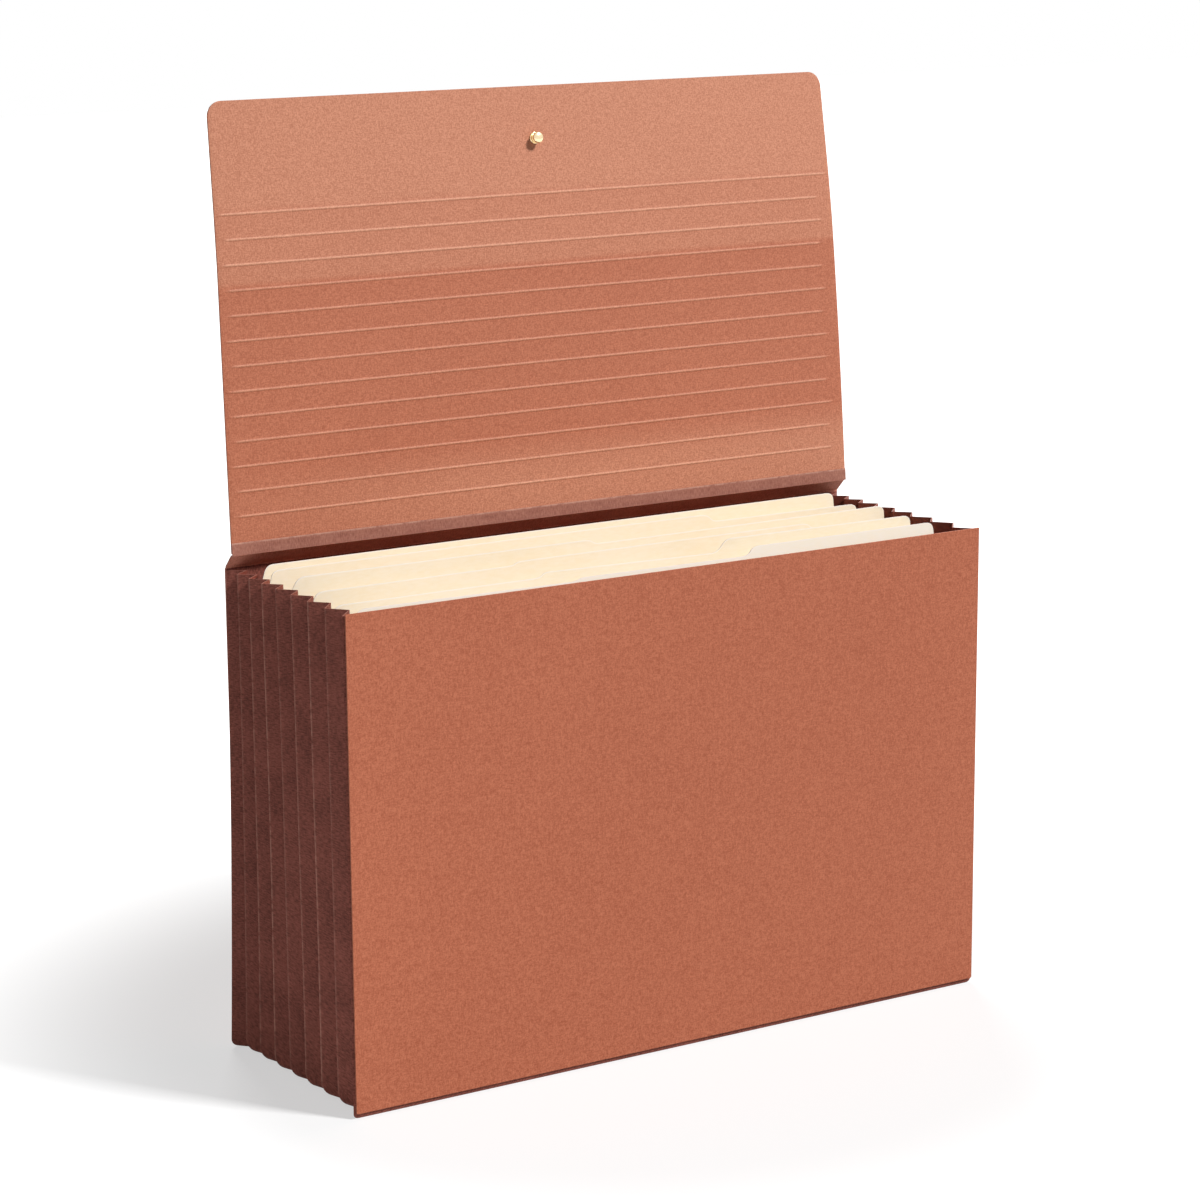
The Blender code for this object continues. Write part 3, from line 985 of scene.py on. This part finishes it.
# %% Emboss and bend the flap
SCORE_BELL = 2.2
SCORE_FADE = 0.0035
SCORE_STOP_LEFT = 0.0028
SCORE_STOP_RIGHT = 0.0072
LAST_SCORE_STOP = 0.0015
STOP_VARIES = 0.0012
STOP_SHIFT = 2.4
FOOT_LEAN = -0.9
LEAN_PER_FACET = 0.12
FOLD_MEMORY = 1.6
HEAD_LEAN = 0.8
FOOT_TWIST = 1.0
HEAD_TWIST = 2.4


def score_relief(x, height):
    """How much of a score's full height stands out of the flap's face at a point."""
    score = round((height - FIRST_SCORE) / SCORE_PITCH)
    if not 0 <= score < SCORES:
        return 0.0
    off = (height - FIRST_SCORE - score * SCORE_PITCH) / SCORE_HALF
    stop = SCORE_STOP_LEFT if x < 0 else SCORE_STOP_RIGHT
    stop = LAST_SCORE_STOP if score == SCORES - 1 else stop + STOP_VARIES * math.sin(STOP_SHIFT * score)
    fade = smooth_step(0, SCORE_FADE, half_width - stop - abs(x))
    return fade * math.exp(-SCORE_BELL * off * off)


def bent_back(x, height):
    """How far a point lies behind the flap's flat plane. Leans and twists are in degrees."""
    back = 0.0
    for facet in range(SCORES + 1):
        start = FIRST_SCORE + (facet - 1) * SCORE_PITCH if facet else 0
        end = FIRST_SCORE + facet * SCORE_PITCH if facet < SCORES else flap_length
        lean = FOOT_LEAN + LEAN_PER_FACET * facet + FOLD_MEMORY * (facet > used_score)
        lean += HEAD_LEAN * (facet == SCORES)
        lean += between(FOOT_TWIST, HEAD_TWIST, facet / SCORES) * x / half_width
        back += min(max(height - start, 0), end - start) * math.tan(math.radians(lean))
    return back


print("the flap's head lies", round(bent_back(0, flap_length) * 1000, 1), "mm behind its plane")

# %% [markdown]
# A flap is painted paler in places. Along the scores this is partly wear and partly a painted highlight on
# each ridge. All over, a little painted light lifts it above the covers, and the right of its foot is
# paler. From just below the score in use up to the head, and a little more above the last score, a painted
# sheen stands in for the light caught where the flap leans back. That could be painted as a picture, but it
# follows from where a point lies, so it is stored with the grid as wear and highlight.

# %% Wear the flap and paint its sheen
# score ridges: paler partly from wear and partly as a painted highlight
SCORE_WEAR_AND_HIGHLIGHT = 0.28
# painted light: the whole flap is a little paler than the covers, standing in for the light it catches
FLAP_PAINTED_LIFT = 0.07
# paler low on the flap's foot, rising towards its right
FOOT_PALENESS = 0.20
FOOT_PALE_LOW = 0.022
FOOT_PALE_HIGH = 0.048
FOOT_PALE_LEFT = -0.26
FOOT_PALE_RIGHT = -0.01
# painted sheen: paler from just below the score in use up to the head, and more above the last score, where
# the flap leans back to the light
PAINTED_SHEEN_ABOVE_FOLD = 0.165
HEAD_PAINTED_SHEEN = 0.06
SHEEN_RAMP_START = 0.0008
SHEEN_RAMP_END = 0.0036


def flap_spot(column, row):
    """Where a point of the flap's grid lies across and up the flap."""
    height = flap_heights[row]
    return flap_across[column] * flap_half_width(height) / half_width, height


def flap_wear(column, row):
    x, height = flap_spot(column, row)
    from_sheen_line = height - FIRST_SCORE - (used_score - 1) * SCORE_PITCH
    from_last = height - FIRST_SCORE - (SCORES - 1) * SCORE_PITCH
    at_foot = 1 - smooth_step(FOOT_PALE_LOW, FOOT_PALE_HIGH, height)
    wear = FLAP_PAINTED_LIFT + FOOT_PALENESS * at_foot * smooth_step(FOOT_PALE_LEFT, FOOT_PALE_RIGHT, x)
    wear += PAINTED_SHEEN_ABOVE_FOLD * smooth_step(SHEEN_RAMP_START, SHEEN_RAMP_END, from_sheen_line)
    wear += HEAD_PAINTED_SHEEN * smooth_step(SHEEN_RAMP_START, SHEEN_RAMP_END, from_last)
    return wear + SCORE_WEAR_AND_HIGHLIGHT * score_relief(x, height) ** 2


# prints how pale the head is painted, mostly painted sheen
print("wear at the head", round(flap_wear(0, len(flap_heights) - 1), 3))

# %% [markdown]
# The flap is now put together like any other sheet, with softened edges, and its place is moved into its
# mesh. It is not tied to a body, and its end has no blend round the score.

# %% Make the flap
SCORE_HEIGHT = 0.0003


def flap_point(column, row):
    x, height = flap_spot(column, row)
    out = board_thickness / 2 + SCORE_HEIGHT * score_relief(x, height) - bent_back(x, height)
    return crease + flap_up * height + flap_out * out + Vector((x, 0, 0))


flap = add_sheet(len(flap_across), len(flap_heights), flap_point)
mark_wear(flap, len(flap_across), flap_wear)
thicken(flap, board_thickness, [board_finish])
soften_edges(flap)
settle(flap, "flap")
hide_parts("flap_lower", "flap_upper")
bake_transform(flap)

# %% [markdown]
# ## Turned brass
#
# A turned piece is round all the way up, and only its radius changes. Spinning an outline would make it
# too, but leaves a seam. Here a disc is extruded up its axis, ring by ring, and each ring is scaled to the
# profile's radius, as a lathe would cut it.

# %% Turn a profile
TURNED_SIDES = 48
TURNED_SMOOTH = 60


def add_turned(name, node, profile, foot, axis):
    """A round piece with a profile of radii and heights in millimetres, along an axis from a foot."""
    bpy.ops.object.select_all(action="DESELECT")
    rings = [(radius / 1000, height / 1000) for radius, height in profile]
    radius, height = rings[0]
    bpy.ops.mesh.primitive_circle_add(vertices=TURNED_SIDES, radius=radius, fill_type="NGON")
    turned = bpy.context.object
    bpy.ops.object.mode_set(mode="EDIT")
    bpy.ops.mesh.select_mode(type="FACE")
    bpy.ops.mesh.select_all(action="SELECT")
    for next_radius, next_height in rings[1:]:
        rise = (0, 0, next_height - height)
        bpy.ops.mesh.extrude_region_move(TRANSFORM_OT_translate={"value": rise})
        share = next_radius / radius
        bpy.ops.transform.resize(value=(share, share, 1), center_override=(0, 0, next_height))
        radius, height = next_radius, next_height
    bpy.ops.mesh.select_all(action="SELECT")
    bpy.ops.mesh.normals_make_consistent(inside=False)
    bpy.ops.object.mode_set(mode="OBJECT")
    apply_modifier(turned, "SUBSURF", levels=1, render_levels=1)
    turned.rotation_euler = axis.to_track_quat("Z", "Y").to_euler()
    turned.location = foot
    settle(turned, name, brass_finish, smooth=TURNED_SMOOTH)
    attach(turned, "flap_end")
    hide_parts(node)


print("turned pieces have", TURNED_SIDES, "sides")

# %% [markdown]
# The closure is a brass post riveted through the flap, with a collar, a narrow neck and a mushroom head
# that holds a loop. Square to the flat plane it would stand askew, so its axis and foot are found from the
# flap's own bend.

# %% Turn the post
SLOPE_STEP = 0.001
POST_PROFILE = (
    (3.0, 0.0), (3.2, 0.2), (3.2, 0.6), (3.0, 0.9), (2.7, 0.9), (2.4, 0.5), (1.8, 0.3), (1.5, 0.6),
    (1.5, 2.4), (1.9, 2.9), (2.7, 3.2), (3.0, 3.6), (3.0, 4.2), (2.7, 4.7), (1.9, 5.1), (0.9, 5.3),
)

post_low, post_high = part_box("closure_post")
post_height = ((post_low + post_high) / 2 - crease).dot(flap_up)
post_back = bent_back(0, post_height)
post_slope = (bent_back(0, post_height + SLOPE_STEP) - post_back) / SLOPE_STEP
post_axis = (flap_out + flap_up * post_slope).normalized()
post_seat = crease + flap_up * post_height - flap_out * post_back
post_foot = post_seat + post_axis * board_thickness
add_turned("brass_post", "closure_post", POST_PROFILE, post_foot, post_axis)

# %% [markdown]
# A rivet needs a head on both sides. The cap is a low dome on the flap's outer face. It could be a
# flattened ball, but the same helper turns it from a flatter profile, facing the other way.

# %% Turn the cap
CAP_PROFILE = ((3.7, 0.0), (3.9, 0.2), (3.9, 0.6), (3.6, 1.0), (2.6, 1.35), (1.3, 1.5))

add_turned("brass_cap", "closure_cap", CAP_PROFILE, post_seat, -post_axis)

# %% [markdown]
# ## Folder outlines
#
# A folder leaf is a sheet of card whose upper edge steps up into a tab. It could be cut out of a rectangle,
# but a grid whose columns follow the outline keeps clean quads. So the edge is drawn first, from corners in
# millimetres: each inner one becomes a short curve, and long stretches get more points.

# %% Draw an upper edge
LEAF_CORNER = 0.0042
CURVE_STEPS = 6
COLUMN_WIDTH = 0.009
NEAREST_SHARE = 0.45


def towards(place, goal, reach):
    """The point a short way from a place towards a goal, never past the middle."""
    step = goal - place
    return place + step * min(NEAREST_SHARE, reach / step.length)


def rounded_line(corners):
    """A line through corners in millimetres, with each inner one rounded."""
    spots = [Vector((x / 1000, rise / 1000)) for x, rise in corners]
    line = spots[:1]
    for before, spot, after in zip(spots, spots[1:], spots[2:]):
        start = towards(spot, before, LEAF_CORNER)
        end = towards(spot, after, LEAF_CORNER)
        for share in even(CURVE_STEPS):
            line.append(start.lerp(spot, share).lerp(spot.lerp(end, share), share))
    return line + spots[-1:]


def filled_line(line):
    """The same line with points added on its long straight stretches."""
    filled = line[:1]
    for here, there in zip(line, line[1:]):
        count = math.ceil((there.x - here.x) / COLUMN_WIDTH)
        filled += [here.lerp(there, step / count) for step in range(1, count + 1)]
    return filled


print("corners are rounded over", LEAF_CORNER * 1000, "mm")

# %% [markdown]
# ## Folder leaves
#
# Each leaf stands in the bottom of a pleat and leans forward in a gentle curve, as card does that is held
# at its foot. One leaf repeated would look copied, so each takes its foot and lean from the packed model,
# with a slight bow and on one leaf a curl at the top. Its uppermost row carries a painted highlight, a
# near-white band for the light caught by its cut edge.

# %% Stand a leaf
CARD_THICKNESS = 0.00042
LEAF_HIGHLIGHT_BAND = 0.0009
LEAF_ROWS = 11
CURL_ROWS = 5
CURL_START = 0.86
CURL_END = 0.98


def add_leaf(node, body, bow, corners, finish=manila_finish, curl=0.0):
    """A folder leaf in the place of its plain node. Its upper edge is given from the covers' top."""
    low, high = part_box(node)
    foot = Vector((0, high.y - CARD_THICKNESS / 2, low.z))
    reach = high.y - low.y - CARD_THICKNESS
    edge = filled_line(rounded_line(corners))
    levels = even(LEAF_ROWS, 0, CURL_START) + even(CURL_ROWS, CURL_START, CURL_END)[1:]
    levels += [1 - LEAF_HIGHLIGHT_BAND / board_height, 1.0]

    def leaf_point(column, row):
        x = edge[column].x
        height = (board_height + edge[column].y - foot.z) * levels[row]
        share = height / board_height
        swell = bow * math.cos(quarter * x / half_width) * share**2
        swell += curl * (max(0, share - CURL_START) / (1 - CURL_START)) ** 2
        return foot + Vector((x, swell - reach * math.sin(quarter * share), height))

    leaf = add_sheet(len(edge), len(levels), leaf_point)
    # painted highlight: the top row takes the near-white rim colour
    mark_wear(leaf, len(edge), lambda i, j: 1.0 if j == len(levels) - 1 else 0.0)
    thicken(leaf, CARD_THICKNESS, [finish, card_edge_finish])
    settle(leaf, node + "_leaf")
    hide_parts(node)
    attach(leaf, body)


print("leaves are", CARD_THICKNESS * 1000, "mm thick")

# %% [markdown]
# ## Three folders
#
# The folders stand one behind the other, and no two have the same outline, so each leaf gets an edge of its
# own. Of the rear folder the back leaf is nearly straight, and the front leaf is higher on its left.

# %% Stand the rear folder
LEAF_BOW = 0.0012
REAR_BACK_EDGE = ((-182, -3), (-179.5, 4.7), (170.3, 4.9), (171, -6), (182, -6.5))
REAR_FRONT_EDGE = ((-181.4, -3), (-179.4, 3.2), (82, 3.2), (86, -1), (180.8, -1.4), (181.4, -9))

add_leaf("rear_folder_back", "rear_folder", 0.0, REAR_BACK_EDGE)
add_leaf("rear_folder_front", "rear_leaf", LEAF_BOW, REAR_FRONT_EDGE)

# %% [markdown]
# Leaves that bowed the same way would read as one thick card. The middle folder's step down at different
# places, and bow towards each other so that they part at their ends.

# %% Stand the middle folder
MIDDLE_BACK_EDGE = ((-182, -3), (-178, 4), (-9, 4), (-5.5, 1.5), (181.4, 1.5), (182, -8))
MIDDLE_FRONT_EDGE = (
    (-178, -6), (-175, -1.2), (-63, -1.2), (-60, 0.6),
    (120, 0.6), (124, -3), (181.4, -3.5), (182, -9),
)

add_leaf("middle_folder_back", "middle_folder", -LEAF_BOW, MIDDLE_BACK_EDGE)
add_leaf("middle_folder_front", "middle_leaf", LEAF_BOW, MIDDLE_FRONT_EDGE)

# %% [markdown]
# The front folder has a tab at its right end. Nothing pale stands before its front leaf to brighten it, so
# its manila is painted paler, as painted light standing in for that missing bounce. Pure white would show
# from other sides. The leaf is nearly flat, and its top curls back, which turns it to the light.

# %% Stand the front folder
SLIGHT_BOW = 0.0003
CURL = 0.0024
FRONT_BACK_EDGE = (
    (-176, -9), (-173, -5), (-58, -5), (-55, -2.4), (50, -4.4),
    (55.5, 2.4), (175.3, 1.8), (176, -7), (181, -8),
)
FRONT_FRONT_EDGE = (
    (-172, -9), (-168, -5), (-45, -6), (-42, -4.4),
    (60, -5), (63.5, -0.4), (180.4, -0.3), (181, -9),
)

add_leaf("front_folder_back", "front_folder", 0.0, FRONT_BACK_EDGE)
add_leaf("front_folder_front", "front_leaf", SLIGHT_BOW, FRONT_FRONT_EDGE, painted_bright_card, CURL)
